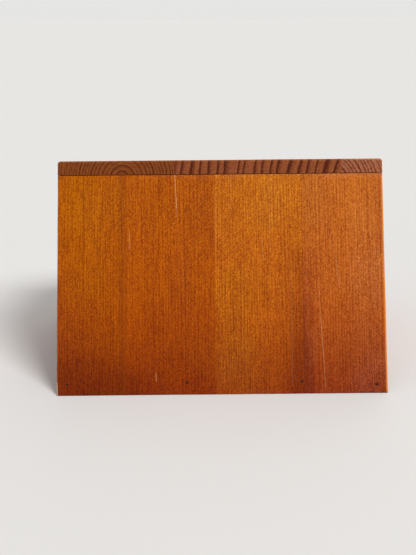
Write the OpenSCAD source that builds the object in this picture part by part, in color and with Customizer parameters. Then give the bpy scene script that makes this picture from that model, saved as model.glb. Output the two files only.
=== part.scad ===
// Wooden recipe card box for 3 by 5 inch cards. The front leans back, and the lid lies
// flush on the four walls and slopes down to two small butt hinges along the back.
// Every panel is glued up from narrow staves, and brads hold the bottom in the walls.
// Millimetres. X runs across the box, Y from front to back, Z up. The finished model's
// origin is on the table, under the middle of the whole box with its hinges.

/* [Box] */
// Width of the box, and of the front, the back and the lid
box_w = 160; // [150:1:200]
// Depth of the box on the table, from the front to the back
box_d = 122; // [105:1:160]
// Height of the front, measured up its slope from the table to the lid
front_len = 107.6; // [95:0.2:125]
// Angle at which the front leans back from upright
front_lean = 23; // [10:1:27]
// Angle at which the lid slopes down to the back
lid_slope = 12; // [6:1:16]

/* [Boards] */
// Thickness of the front
front_t = 7; // [5.5:0.5:10]
// Thickness of the back
back_t = 7; // [6.5:0.5:10]
// Thickness of each side
side_t = 7; // [5.5:0.5:10]
// Thickness of the bottom
bottom_t = 7; // [5:0.5:10]
// Height of the bottom's underside above the table
bottom_lift = 2; // [1:0.5:5]
// Thickness of the lid
lid_t = 7; // [6.5:0.5:10]
// Gap between the closed lid and the walls
lid_gap = 0.4; // [0.3:0.05:0.7]
// Radius on the lid's two long upper edges
lid_round = 1.2; // [0.6:0.1:2.5]
// Radius on the outer upright edges of the front and the back
edge_round = 0.7; // [0.3:0.1:2]

/* [Staves] */
// Place of the front's left glue line, from the middle of the box
front_seam_left = -48; // [-60:1:-36]
// Place of the front's middle glue line
front_seam_middle = -3; // [-12:1:8]
// Place of the front's right glue line
front_seam_right = 39.6; // [20:0.2:60]
// Place of the lid's left glue line
lid_seam_left = -22; // [-40:1:0]
// Place of the lid's right glue line
lid_seam_right = 60; // [30:1:68]
// Place of the back's left glue line
back_seam_left = -36; // [-55:1:-20]
// Place of the back's middle glue line
back_seam_middle = 2; // [-10:1:10]
// Place of the back's right glue line
back_seam_right = 31; // [15:1:55]
// Distance from the upright glue line in each side to the front of the box
side_seam = 72; // [62:1:85]
// Distance from the bottom's glue line to the front of the box
bottom_seam = 64; // [50:1:80]

/* [Brads] */
// Shank radius of a brad
brad_r = 0.6; // [0.4:0.05:0.7]
// Length of a brad with its head
brad_len = 17; // [14:0.5:20]
// Radius of a brad's head
brad_head_r = 0.75; // [0.75:0.05:1.2]
// Thickness of a brad's head
brad_head_t = 0.5; // [0.3:0.1:0.8]
// How deep a brad's head is set below the wood
brad_set = 0.3; // [0.1:0.1:0.8]
// Distance of the outer brads from the ends of the front and the back
brad_inset = 4.8; // [2.5:0.1:5.5]
// Distance of the front's right brad from the right end
brad_inset_right = 5.6; // [2.5:0.1:5.8]
// Place of the left middle brad, from the middle of the box
brad_left = -17.2; // [-30:0.2:-6]
// Place of the right middle brad
brad_right = 38.4; // [10:0.2:60]
// How far the front's left brad went in below the others
brad_drop_left = 0.6; // [0:0.1:1.5]
// How far the front's right brad went in below the others
brad_drop_right = 1.5; // [0:0.1:2]
// Distance of the sides' brads from the front and the back of the box, on the table
side_brad_inset = 32; // [26:1:45]

/* [Hinges] */
// Distance of each hinge's middle from the middle of the box
hinge_x = 46; // [30:1:60]
// Length of a hinge
hinge_len = 25; // [20:1:30]
// Thickness of a hinge leaf
leaf_t = 0.8; // [0.6:0.1:1]
// Gap between the two closed leaves
leaf_gap = 0.2; // [0.1:0.05:0.25]
// Distance from the pin's middle to a leaf's far edge
leaf_w = 6.6; // [6:0.1:7.2]
// Outer radius of the knuckles
knuckle_r = 1.5; // [1.2:0.1:1.8]
// Gap between the knuckles and the back
knuckle_off = 0.3; // [0.2:0.05:0.6]
// Gap between one knuckle and the next
knuckle_gap = 0.2; // [0.1:0.05:0.4]
// Radius of the hinge pin
pin_r = 0.7; // [0.5:0.05:0.9]
// Radial clearance between the pin and the knuckles
pin_fit = 0.05; // [0.02:0.01:0.08]
// Shank radius of a hinge screw
screw_r = 0.6; // [0.5:0.05:0.75]
// Head radius of a hinge screw
screw_head_r = 1.3; // [1:0.05:1.5]
// Length of a screw into the back
back_screw_len = 8; // [5:0.5:12]
// Length of a screw into the lid
lid_screw_len = 4.6; // [3:0.1:5.2]
// Distance of a hinge's two screws from its middle
screw_x = 7.6; // [5:0.1:8.2]
// Distance of the screws from the pin
screw_back = 4.4; // [4.1:0.1:4.7]

/* [Hidden] */
$fn = 48;
knuckle_count = 5;
// Gap round a hinge leaf in its pocket
leaf_fit = 0.1;
// Radial gap round a brad or a screw in the wood, and round a screw in its leaf
hole_fit = 0.05;
// How far a cut runs past the face that it opens
past = 1;
// Width and depth of the slot in a screw's head
slot_w = 0.4;
slot_deep = 0.3;

lean = tan(front_lean);
slope = tan(lid_slope);
half_w = box_w / 2;
// Thickness of the front, and of the lid and its gap, measured level and upright
front_level = front_t / cos(front_lean);
lid_upright = lid_t / cos(lid_slope);
gap_upright = lid_gap / cos(lid_slope);
// Heights at y = 0 of the planes of the walls' tops, the lid's underside and its top
wall_k = front_len * (cos(front_lean) + sin(front_lean) * slope);
under_k = wall_k + gap_upright;
top_k = under_k + lid_upright;
// The hinge pins lie behind the back, level with the middle of the lid's gap
pin_y = box_d + knuckle_off + knuckle_r;
pin_z = wall_k + gap_upright / 2 - pin_y * slope;
bottom_top = bottom_lift + bottom_t;
brad_z = bottom_lift + bottom_t / 2;
knuckle_pitch = hinge_len / knuckle_count;
// The leaves start clear of the other leaf's knuckles
leaf_start = knuckle_r + knuckle_gap;
middle_y = (pin_y + knuckle_r) / 2;

front_cuts = [-half_w, front_seam_left, front_seam_middle, front_seam_right, half_w];
back_cuts = [-half_w, back_seam_left, back_seam_middle, back_seam_right, half_w];
lid_cuts = [-half_w, lid_seam_left, lid_seam_right, half_w];

// Height of a plane that slopes like the lid, and level place of one that leans like the front
function lid_plane(k, y) = k - y * slope;
function front_plane(c, z) = c + z * lean;
// Where the two meet, as [y, z]
function meet(k, c) =
  let(z = (k - c * slope) / (1 + lean * slope))
  [front_plane(c, z), z];

// A side view outline, filled from one place across the box to another
module slab(x0, x1) {
  translate([x0, 0, 0])
    rotate([90, 0, 90])
      linear_extrude(height = x1 - x0)
        children();
}

// End view of a whole panel, inner face down, with both outer corners round
module panel_section(thickness, r) {
  translate([-half_w, 0])
    square([box_w, thickness - r]);
  translate([-half_w + r, 0])
    square([box_w - 2 * r, thickness]);
  for (end = [-1, 1])
    translate([end * (half_w - r), thickness - r])
      circle(r);
}

// A brad driven along +Z, with the wood's face at z = 0
module brad() {
  translate([0, 0, brad_set]) {
    cylinder(r = brad_head_r, h = brad_head_t);
    cylinder(r = brad_r, h = brad_len);
  }
}

module brad_hole() {
  translate([0, 0, -past - brad_head_r])
    cylinder(r = brad_head_r + hole_fit, h = past + brad_head_r + brad_set + brad_head_t);
  cylinder(r = brad_r + hole_fit, h = brad_set + brad_len + hole_fit);
}

// The front's brads go in level, through the leaning front into the sides and the bottom
module at_front_brads() {
  for (place = [
    [-half_w + brad_inset, brad_z - brad_drop_left],
    [brad_left, brad_z],
    [brad_right, brad_z],
    [half_w - brad_inset_right, brad_z - brad_drop_right],
  ])
    translate([place[0], front_plane(0, place[1] + brad_head_r), place[1]])
      rotate([-90, 0, 0])
        children();
}

module at_back_brads() {
  for (x = [-half_w + brad_inset, brad_left, brad_right, half_w - brad_inset])
    translate([x, box_d, brad_z])
      rotate([90, 0, 0])
        children();
}

// Brads through one side into the edge of the bottom
module at_side_brads(side) {
  for (y = [side_brad_inset, box_d - side_brad_inset])
    translate([side * half_w, y, brad_z])
      rotate([0, -side * 90, 0])
        children();
}

// A hinge's own frame: the pin lies along X, and -Y runs up along the closed lid
module at_hinge(side) {
  translate([side * hinge_x, pin_y, pin_z])
    rotate([-lid_slope, 0, 0])
      children();
}

// The two screws of a leaf, driven along +Z: part is 1 for the lid and -1 for the box
module at_screws(part) {
  for (x = [-screw_x, screw_x])
    translate([x, -screw_back, part * leaf_gap / 2])
      rotate([part > 0 ? 0 : 180, 0, 0])
        children();
}

module screw(length) {
  difference() {
    union() {
      cylinder(r1 = screw_head_r, r2 = screw_r, h = leaf_t);
      cylinder(r = screw_r, h = length);
    }
    translate([-screw_head_r - past, -slot_w / 2, -past])
      cube([2 * (screw_head_r + past), slot_w, past + slot_deep]);
  }
}

// Pockets in the wood for both hinges' leaves, and the holes for their screws
module hinge_pockets(part, screw_len) {
  deep = leaf_gap / 2 + leaf_t + leaf_fit;
  for (side = [-1, 1])
    at_hinge(side) {
      translate([-hinge_len / 2 - leaf_fit, -leaf_w - leaf_fit, part > 0 ? -past : -deep])
        cube([hinge_len + 2 * leaf_fit, leaf_w + past, past + deep]);
      at_screws(part)
        cylinder(r = screw_r + hole_fit, h = screw_len + hole_fit);
    }
}

// One leaf with its own knuckles: every second knuckle belongs to the box's leaf
module leaf(part) {
  color("gold")
    difference() {
      union() {
        translate([-hinge_len / 2, -leaf_w, part > 0 ? leaf_gap / 2 : -leaf_gap / 2 - leaf_t])
          cube([hinge_len, leaf_w - leaf_start, leaf_t]);
        for (n = [part > 0 ? 1 : 0 : 2 : knuckle_count - 1])
          knuckle(n, part);
      }
      rotate([0, 90, 0])
        cylinder(r = pin_r + pin_fit, h = hinge_len + 2 * past, center = true);
      at_screws(part) {
        cylinder(r1 = screw_head_r + hole_fit, r2 = screw_r + hole_fit, h = leaf_t);
        translate([0, 0, -past])
          cylinder(r = screw_r + hole_fit, h = leaf_t + 2 * past);
      }
    }
}

// One knuckle and the strip of leaf that carries it
module knuckle(n, part) {
  from = -hinge_len / 2 + n * knuckle_pitch + (n > 0 ? knuckle_gap / 2 : 0);
  to = -hinge_len / 2 + (n + 1) * knuckle_pitch - (n < knuckle_count - 1 ? knuckle_gap / 2 : 0);
  translate([from, 0, 0])
    rotate([0, 90, 0])
      cylinder(r = knuckle_r, h = to - from);
  translate([from, -leaf_w, part > 0 ? leaf_gap / 2 : -leaf_gap / 2 - leaf_t])
    cube([to - from, leaf_w, leaf_t]);
}

module front_stave(n) {
  color("chocolate")
    difference() {
      intersection() {
        slab(front_cuts[n - 1], front_cuts[n])
          polygon([[0, 0], [front_level, 0], meet(wall_k, front_level), meet(wall_k, 0)]);
        rotate([-front_lean, 0, 0])
          translate([0, front_t, -box_d])
            mirror([0, 1, 0])
              linear_extrude(height = 2 * box_d + front_len)
                panel_section(front_t, edge_round);
      }
      at_front_brads()
        brad_hole();
    }
}

module back_stave(n) {
  inner_y = box_d - back_t;
  color("chocolate")
    difference() {
      intersection() {
        slab(back_cuts[n - 1], back_cuts[n])
          polygon([
            [inner_y, 0],
            [box_d, 0],
            [box_d, lid_plane(wall_k, box_d)],
            [inner_y, lid_plane(wall_k, inner_y)]
          ]);
        translate([0, inner_y, 0])
          linear_extrude(height = wall_k)
            panel_section(back_t, edge_round);
      }
      at_back_brads()
        brad_hole();
      hinge_pockets(-1, back_screw_len);
    }
}

// Half of a side, in front of or behind its glue line
module side_stave(side, rear) {
  inner_y = box_d - back_t;
  color("peru")
    difference() {
      slab(side > 0 ? half_w - side_t : -half_w, side > 0 ? half_w : side_t - half_w)
        if (rear)
          polygon([
            [side_seam, 0],
            [inner_y, 0],
            [inner_y, lid_plane(wall_k, inner_y)],
            [side_seam, lid_plane(wall_k, side_seam)]
          ]);
        else
          polygon([
            [front_level, 0],
            [side_seam, 0],
            [side_seam, lid_plane(wall_k, side_seam)],
            meet(wall_k, front_level)
          ]);
      at_front_brads()
        brad_hole();
      at_back_brads()
        brad_hole();
      at_side_brads(side)
        brad_hole();
    }
}

// Half of the bottom, which fits between all four walls
module bottom_stave(rear) {
  color("peru")
    difference() {
      slab(side_t - half_w, half_w - side_t)
        polygon([
          [rear ? bottom_seam : front_plane(front_level, bottom_lift), bottom_lift],
          [rear ? box_d - back_t : bottom_seam, bottom_lift],
          [rear ? box_d - back_t : bottom_seam, bottom_top],
          [rear ? bottom_seam : front_plane(front_level, bottom_top), bottom_top]
        ]);
      at_front_brads()
        brad_hole();
      at_back_brads()
        brad_hole();
      for (side = [-1, 1])
        at_side_brads(side)
          brad_hole();
    }
}

module lid_stave(n) {
  color("saddlebrown")
    difference() {
      intersection() {
        slab(lid_cuts[n - 1], lid_cuts[n])
          polygon([
            meet(under_k, 0),
            [box_d, lid_plane(under_k, box_d)],
            [box_d, lid_plane(top_k, box_d)],
            meet(top_k, 0)
          ]);
        translate([0, 0, under_k])
          rotate([90 - lid_slope, 0, 0])
            linear_extrude(height = 4 * box_d, center = true)
              panel_section(lid_t, lid_round);
      }
      hinge_pockets(1, lid_screw_len);
    }
}

module brads() {
  color("dimgray")
    children();
}

module hinge_pin() {
  color("goldenrod")
    rotate([0, 90, 0])
      cylinder(r = pin_r, h = hinge_len, center = true);
}

module leaf_screws(part, length) {
  color("goldenrod")
    at_screws(part)
      screw(length);
}

// Moves the box so that its middle lies over the origin
module placed() {
  translate([0, -middle_y, 0])
    children();
}

for (n = [1 : len(front_cuts) - 1])
  placed() front_stave(n);
for (n = [1 : len(back_cuts) - 1])
  placed() back_stave(n);
placed() side_stave(-1, false);  // left_side_front
placed() side_stave(-1, true);  // left_side_rear
placed() side_stave(1, false);  // right_side_front
placed() side_stave(1, true);  // right_side_rear
placed() bottom_stave(false);  // bottom_front
placed() bottom_stave(true);  // bottom_rear
for (n = [1 : len(lid_cuts) - 1])
  placed() lid_stave(n);
placed() brads() at_front_brads() brad();  // front_brads
placed() brads() at_back_brads() brad();  // back_brads
placed() brads() at_side_brads(-1) brad();  // left_brads
placed() brads() at_side_brads(1) brad();  // right_brads
placed() at_hinge(-1) leaf(-1);  // left_hinge_box_leaf
placed() at_hinge(-1) leaf(1);  // left_hinge_lid_leaf
placed() at_hinge(-1) hinge_pin();  // left_hinge_pin
placed() at_hinge(-1) leaf_screws(-1, back_screw_len);  // left_hinge_box_screws
placed() at_hinge(-1) leaf_screws(1, lid_screw_len);  // left_hinge_lid_screws
placed() at_hinge(1) leaf(-1);  // right_hinge_box_leaf
placed() at_hinge(1) leaf(1);  // right_hinge_lid_leaf
placed() at_hinge(1) hinge_pin();  // right_hinge_pin
placed() at_hinge(1) leaf_screws(-1, back_screw_len);  // right_hinge_box_screws
placed() at_hinge(1) leaf_screws(1, lid_screw_len);  // right_hinge_lid_screws
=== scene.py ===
# %% [markdown]
# A wooden card box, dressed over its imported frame. The frame holds every board, brad and
# hinge at its real size, so this lesson only finishes them: eased edges, stained and
# varnished softwood, aged brass. The frame comes first because each piece is measured
# from it and moves with one of its two bodies, the box or the lid.

# %% The frame
import math
import bmesh
import bpy
from mathutils import Matrix, Vector, noise


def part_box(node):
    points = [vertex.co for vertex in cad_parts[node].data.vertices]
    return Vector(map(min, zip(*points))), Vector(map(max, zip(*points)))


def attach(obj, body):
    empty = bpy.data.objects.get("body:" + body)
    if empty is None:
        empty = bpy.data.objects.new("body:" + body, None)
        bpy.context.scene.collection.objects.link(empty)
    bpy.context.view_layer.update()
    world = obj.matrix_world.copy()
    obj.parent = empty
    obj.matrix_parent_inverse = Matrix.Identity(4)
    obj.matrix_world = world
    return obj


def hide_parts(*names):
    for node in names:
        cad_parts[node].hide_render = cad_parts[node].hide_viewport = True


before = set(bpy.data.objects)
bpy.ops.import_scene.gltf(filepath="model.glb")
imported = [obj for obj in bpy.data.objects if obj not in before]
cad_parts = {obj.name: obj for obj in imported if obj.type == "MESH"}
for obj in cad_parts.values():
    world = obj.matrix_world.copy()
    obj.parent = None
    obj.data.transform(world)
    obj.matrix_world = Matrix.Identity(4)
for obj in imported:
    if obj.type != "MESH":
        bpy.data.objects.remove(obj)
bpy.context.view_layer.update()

# %% [markdown]
# The camera stands where the photographer stood: a little above the box, tilted down, and
# a touch left of its middle. A camera can be placed by eye or worked out. Here it is worked
# out from the way the front narrows towards its top, because that fixes both how far away
# the camera is and how far the front leans back.

# %% The camera
MM = 0.001
front_foot_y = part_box("front_stave_1")[0].y
camera_back = 333.7 * MM      # in front of the front's lower edge
camera_up = 172.9 * MM
camera_left = 6.4 * MM
camera_pitch = math.radians(18.74)
camera_roll = math.radians(-0.55)
LENS = 50
SENSOR = 36
camera_data = bpy.data.cameras.new("camera")
camera_data.lens = LENS
camera_data.sensor_width = SENSOR
camera = bpy.data.objects.new("camera", camera_data)
camera.matrix_world = (
    Matrix.Translation((-camera_left, front_foot_y - camera_back, camera_up))
    @ Matrix.Rotation(math.pi / 2 - camera_pitch, 4, "X")
    @ Matrix.Rotation(camera_roll, 4, "Z")
)
bpy.context.scene.collection.objects.link(camera)
bpy.context.scene.camera = camera
print("camera at", [round(c, 4) for c in camera.matrix_world.translation])

# %% [markdown]
# The box stands on a plain pale floor. A glossy or small floor would mirror the sky or show
# its rim, so it is a large matt sheet: with no shine it looks the same near and far.

# %% The floor
FLOOR_HALF = 45.0
FLOOR_COLOUR = (0.74, 0.73, 0.715)


def plain_material(name, colour):
    """A matt paint with no shine at all."""
    made = bpy.data.materials.new(name)
    made.use_nodes = True
    shader = made.node_tree.nodes["Principled BSDF"]
    shader.inputs["Base Color"].default_value = (*colour, 1)
    shader.inputs["Roughness"].default_value = 1.0
    shader.inputs["Specular IOR Level"].default_value = 0.0
    return made


floor_mesh = bpy.data.meshes.new("floor")
floor_corners = [(x * FLOOR_HALF, y * FLOOR_HALF, 0) for x, y in ((-1, -1), (1, -1), (1, 1), (-1, 1))]
floor_mesh.from_pydata(floor_corners, [], [(0, 1, 2, 3)])
floor = bpy.data.objects.new("floor", floor_mesh)
floor_mesh.materials.append(plain_material("floor_paint", FLOOR_COLOUR))
bpy.context.scene.collection.objects.link(floor)
print("floor:", 2 * FLOOR_HALF, "m wide")

# %% [markdown]
# The world lights the box from all round. One even tone would do, but a varnished front
# mirrors it and turns milky. So the world is pale along the horizon, where it stands behind
# the box and meets the floor, dim at the height that the varnish mirrors, and bright
# overhead. The stain then keeps its depth of colour.

# %% The world
FLOOR_TONE = 0.79      # what the lit floor comes to, so that no horizon shows behind the box
BAND_TONES = ((0.0, FLOOR_TONE), (0.18, FLOOR_TONE), (0.30, 0.05), (0.62, 0.08), (0.85, 0.75))
WORLD_WARMTH = (1.0, 0.995, 0.98)
world = bpy.data.worlds.new("studio")
world.use_nodes = True
sky = world.node_tree
heading = sky.nodes.new("ShaderNodeTexCoord")
height = sky.nodes.new("ShaderNodeSeparateXYZ")
bands = sky.nodes.new("ShaderNodeValToRGB")
sky.links.new(heading.outputs["Generated"], height.inputs[0])
sky.links.new(height.outputs["Z"], bands.inputs[0])
sky.links.new(bands.outputs[0], sky.nodes["Background"].inputs["Color"])
while len(bands.color_ramp.elements) < len(BAND_TONES):
    bands.color_ramp.elements.new(0.5)
for element, (place, tone) in zip(bands.color_ramp.elements, BAND_TONES):
    element.position = place
    element.color = (*(tone * share for share in WORLD_WARMTH), 1)
bpy.context.scene.world = world
bpy.context.scene.view_settings.view_transform = "Standard"
print("world:", len(BAND_TONES), "bands from the horizon up")

# %% [markdown]
# A wide lamp high on the right gives the front its bright upper right and throws the shadow
# to the left. A weak one on the left keeps the dark side readable, and one behind draws the
# back's edges. Area lamps would light a floor this large unevenly, so all three are suns,
# with a wide angle for soft shadows.

# %% The lamps
LAMPS = {              # the direction it shines from, its strength and its angle in degrees
    "key": ((0.6, -0.55, 1.0), 2.12, 24),
    "fill": ((-0.9, -0.7, 0.5), 0.2, 60),
    "rear": ((0.3, 1.0, 0.8), 0.6, 50),
}
for name, (place, strength, spread) in LAMPS.items():
    lamp_data = bpy.data.lights.new(name, "SUN")
    lamp_data.energy = strength
    lamp_data.angle = math.radians(spread)
    lamp = bpy.data.objects.new(name, lamp_data)
    lamp.matrix_world = (-Vector(place)).to_track_quat("-Z", "Y").to_matrix().to_4x4()
    bpy.context.scene.collection.objects.link(lamp)
print("lamps:", sorted(LAMPS))

# %% [markdown]
# The box is four walls, a bottom and a lid, each glued up from narrow staves. Three planes
# give every board its shape: the leaning front, the upright back, and the slope shared by
# the walls' tops and the lid. Working the corners out from those planes keeps all the
# joints tight, where typing in seventeen sets of corners would not.

# %% Planes shared by the boards
LEAN = math.tan(math.radians(23))
SLOPE = math.tan(math.radians(12))
board_t = 7 * MM
lid_gap = 0.05 * MM    # the lid rests on the walls; the frame's play is left out
front_len = 107.6 * MM
bottom_low = 2 * MM
bottom_high = bottom_low + board_t
half_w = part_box("front_stave_4")[1].x
back_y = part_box("back_stave_1")[1].y
back_inner_y = back_y - board_t
level_t = board_t * math.hypot(1, LEAN)
wall_k = front_len * (1 + LEAN * SLOPE) / math.hypot(1, LEAN)
under_k = wall_k + lid_gap * math.hypot(1, SLOPE)
top_k = under_k + board_t * math.hypot(1, SLOPE)


def lid_plane(k, y):
    return k - (y - front_foot_y) * SLOPE


def front_plane(c, z):
    return front_foot_y + c + z * LEAN


def meet(k, c):
    z = (k - c * SLOPE) / (1 + LEAN * SLOPE)
    return front_plane(c, z), z


print("front top edge at", [round(v / MM, 2) for v in meet(wall_k, 0)], "mm")

# %% [markdown]
# Real boards have no sharp arrises: sanding and years of hands round them, unevenly. A
# bevel modifier could do it, but it can't leave the glued edges sharp or let the rounding
# wander. So each board is a fine grid wrapped on a box, whose outer edges are pulled in to
# a radius that drifts along the edge. The grid also takes a faint hand-planed ripple,
# read from the place in space so that neighbouring staves still meet.

# %% A board with eased arrises
FOOT = 0.35 * MM       # radius of edges that stand on the table or face inwards
JOINT = 0.22 * MM      # and of those where the lid meets the walls
GRID = 3 * MM
ARC_STEPS = 4
RIPPLE = 0.03 * MM
RIPPLE_SIZE = 14 * MM
DRIFT = 0.35           # how much the rounding's radius wanders, as a share
DRIFT_PACE = 60        # how fast it wanders, per metre along the board
DRIFT_SHIFT = 40       # so that no two boards wander alike
SHARP_ANGLE = math.radians(40)


def stations(length, low, high):
    """Places along one edge of a board, closer together where its ends are rounded."""
    arc = [math.tan(math.pi / 4 * k / ARC_STEPS) for k in range(ARC_STEPS + 1)]
    cells = max(1, round((length - low - high) / GRID))
    inner = [low + (length - low - high) * k / cells for k in range(1, cells)]
    first = [low * (1 - a) for a in reversed(arc)] if low else [0.0]
    last = [length - high * (1 - a) for a in arc] if high else [length]
    return first + inner + last


print("a 60 mm edge has", len(stations(60 * MM, FOOT, FOOT)), "stations")


# %% Pulling the edges in
def pull_in(place, size, ends, scale):
    """Moves a point on a box's surface onto the same box with rounded edges, and says
    how far over the rounding it lies, from 0 on a face to 1 on the middle of an arris.
    The rounding of a board's sides grows from its inner face to its outer one."""
    core, away, reach = Vector(), Vector(), 0.0
    through = place[1] / size[1]
    for i in range(3):
        low, high = ends[i][0] * scale, ends[i][1] * scale
        if i == 0:
            low = low and low * through + ends[1][0] * scale * (1 - through)
            high = high and high * through + ends[1][0] * scale * (1 - through)
        core[i] = min(max(place[i], low), size[i] - high)
        away[i] = place[i] - core[i]
        radius = low if away[i] < 0 else high
        if radius:
            reach += (away[i] / radius) ** 2
    reach = math.sqrt(reach)
    if reach <= 1:
        return Vector(place), 0.0
    return core + away / reach, min(1.0, (reach - 1) / (math.sqrt(2) - 1))


eased_corner = pull_in((0, 0, 0), (board_t,) * 3, ((JOINT, JOINT),) * 3, 1)[0]
print("a sharp corner moves in by", round(eased_corner.length / MM, 3), "mm")


# %% The board's mesh
def board_mesh(name, corners, ends):
    """corners[a][b][c]: a across the board, b from inside to outside, c along the grain.
    ends gives the easing at the low and high end of each of those, 0 where it is sharp.
    Rounding at the lid's joint and at the foot is marked to be painted dark, as shade in the joint and at
    the table with some dirt, where other edges wear."""
    size = [
        (corners[1][1][0] - corners[0][1][0]).length,
        board_t,
        (corners[0][1][1] - corners[0][1][0]).length,
    ]
    outward = (corners[0][1][0] - corners[0][0][0]).normalized()
    rows = [stations(size[i], *ends[i]) for i in range(3)]
    last = [len(row) - 1 for row in rows]
    mesh = bmesh.new()
    worn = mesh.verts.layers.float.new("wear")
    shade_and_dirt_layer = mesh.verts.layers.float.new("shade_and_dirt")
    made = {}

    def vertex(key):
        if key not in made:
            raw = [rows[n][key[n]] for n in range(3)]
            start = corners[0][0][0]
            scale = 1 + DRIFT * noise.noise(Vector(raw) * DRIFT_PACE + start * DRIFT_SHIFT)
            eased, bend = pull_in(raw, size, ends, scale)
            share = [eased[n] / size[n] for n in range(3)]
            place = Vector()
            for p in (0, 1):
                for q in (0, 1):
                    for r in (0, 1):
                        weight = (share[0] if p else 1 - share[0]) * (share[1] if q else 1 - share[1])
                        place += corners[p][q][r] * weight * (share[2] if r else 1 - share[2])
            face = (key[1] == last[1]) - (key[1] == 0)
            place += outward * (noise.noise(place / RIPPLE_SIZE) * RIPPLE * face)
            made[key] = mesh.verts.new(place)
            # The rounding at the lid's joint and at the foot gets the dark mark: painted shade in the
            # joint and at the table, with some dirt.
            at_joint = any(
                ends[n][e] == JOINT and (size[n] - eased[n] if e else eased[n]) < JOINT
                for n in range(3) for e in (0, 1))
            at_foot = ends[2][0] == FOOT and eased[2] < FOOT
            made[key][shade_and_dirt_layer if at_joint or at_foot else worn] = bend
        return made[key]

    for fixed in range(3):
        one, two = [n for n in range(3) if n != fixed]
        for end in (0, last[fixed]):
            for i in range(last[one]):
                for j in range(last[two]):
                    ring = []
                    for di, dj in ((0, 0), (1, 0), (1, 1), (0, 1)):
                        key = [0, 0, 0]
                        key[fixed], key[one], key[two] = end, i + di, j + dj
                        ring.append(vertex(tuple(key)))
                    mesh.faces.new(ring)
    bmesh.ops.recalc_face_normals(mesh, faces=mesh.faces)
    data = bpy.data.meshes.new(name)
    mesh.to_mesh(data)
    mesh.free()
    data.shade_smooth()
    data.set_sharp_from_angle(angle=SHARP_ANGLE)
    made_object = bpy.data.objects.new(name, data)
    bpy.context.scene.collection.objects.link(made_object)
    print(name, len(data.polygons), "faces, size", [round(v / MM, 1) for v in size], "mm")
    return made_object


print("grid of", round(GRID / MM, 1), "mm with", ARC_STEPS, "steps round each edge")

# %% [markdown]
# On the bench each board would be sawn to its own angles. Here its corners follow from the
# planes: each function returns the eight corners of one stave, and neighbouring staves
# share them along their glue line, which stays sharp.

# %% Corners of the walls
def front_corners(x0, x1):
    sides = []
    for x in (x0, x1):
        inner = [Vector((x, front_plane(level_t, 0), 0)), Vector((x, *meet(wall_k, level_t)))]
        outer = [Vector((x, front_foot_y, 0)), Vector((x, *meet(wall_k, 0)))]
        sides.append([inner, outer])
    return sides


def back_corners(x0, x1):
    return [
        [[Vector((x, y, 0)), Vector((x, y, lid_plane(wall_k, y)))] for y in (back_inner_y, back_y)]
        for x in (x0, x1)
    ]


def side_corners(side, y_low, y_high):
    """y_low and y_high are the board's edges at the table and at the lid."""
    xs = (side * (half_w - board_t), side * half_w)
    return [
        [[Vector((x, foot, 0)), Vector((x, head, lid_plane(wall_k, head)))] for x in xs]
        for foot, head in (y_low, y_high)
    ]


print("back is", round(back_corners(0, 1)[0][1][1].z / MM, 1), "mm high")


# %% Corners of the bottom and the lid
def bottom_corners(lean_front, y_rear):
    """lean_front is the front end's y at the underside and the top; the grain runs across."""
    inside = half_w - board_t
    heights = (bottom_high, bottom_low)
    return [
        [[Vector((x, ends[n], heights[n])) for x in (-inside, inside)] for n in range(2)]
        for ends in (lean_front, (y_rear, y_rear))
    ]


def lid_corners(x0, x1):
    sides = []
    for x in (x0, x1):
        layers = []
        for k in (under_k, top_k):
            layers.append([Vector((x, back_y, lid_plane(k, back_y))), Vector((x, *meet(k, 0)))])
        sides.append(layers)
    return sides


lid_slope_len = (lid_corners(0, 1)[0][1][1] - lid_corners(0, 1)[0][1][0]).length
print("lid is", round(lid_slope_len / MM, 1), "mm long down its slope")

# %% [markdown]
# The finish is an orange-brown stain under satin varnish on softwood. Wood isn't a picture
# laid on a board: its rings are cylinders round the tree's pith, and each face cuts them
# its own way. So the colour is worked out in solid space. Every stave gets the distance
# from its own pith line, which draws straight lines on a quarter-sawn face and arcs on
# the same board's end. A flat texture would need a new drawing for each face.

# %% Helpers for node trees
def node(tree, kind, settings=None, **inputs):
    made = tree.nodes.new(kind)
    for key, value in (settings or {}).items():
        setattr(made, key, value)
    for key, value in inputs.items():
        socket = made.inputs[int(key[1:])] if key[0] == "i" and key[1:].isdigit() else made.inputs[key]
        if isinstance(value, bpy.types.NodeSocket):
            tree.links.new(value, socket)
        else:
            socket.default_value = value
    return made


def maths(tree, operation, *values):
    inputs = {"i%d" % n: v for n, v in enumerate(values)}
    return node(tree, "ShaderNodeMath", {"operation": operation}, **inputs).outputs[0]


def vector_maths(tree, operation, *values):
    inputs = {"i%d" % n: v for n, v in enumerate(values)}
    made = node(tree, "ShaderNodeVectorMath", {"operation": operation}, **inputs)
    return made.outputs["Value" if operation in ("DOT_PRODUCT", "LENGTH") else "Vector"]


print("node helpers:", node.__name__, maths.__name__, vector_maths.__name__)


# %% Patterns and colours from nodes
def grain_noise(tree, place, stretch, detail=2.0):
    """A noise whose cells measure about one over stretch, in metres, along each axis."""
    scaled = vector_maths(tree, "MULTIPLY", place, stretch)
    made = node(tree, "ShaderNodeTexNoise", None, Vector=scaled, Scale=1.0, Detail=detail)
    return made.outputs["Fac"]


def grey(value):
    return (value, value, value)


def ramp(tree, factor, stops):
    made = node(tree, "ShaderNodeValToRGB", None, Fac=factor)
    elements = made.color_ramp.elements
    while len(elements) < len(stops):
        elements.new(0.5)
    for element, (place, colour) in zip(elements, stops):
        element.position = place
        element.color = (*colour, 1) if len(colour) == 3 else colour
    return made.outputs["Color"]


def blend(tree, factor, first, second, mode="MIX"):
    made = node(tree, "ShaderNodeMix", {"data_type": "RGBA", "blend_type": mode})
    for socket, value in ((made.inputs[0], factor), (made.inputs[6], first), (made.inputs[7], second)):
        if isinstance(value, bpy.types.NodeSocket):
            tree.links.new(value, socket)
        else:
            socket.default_value = value if isinstance(value, float) else (*value, 1)
    return made.outputs[2]


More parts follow.
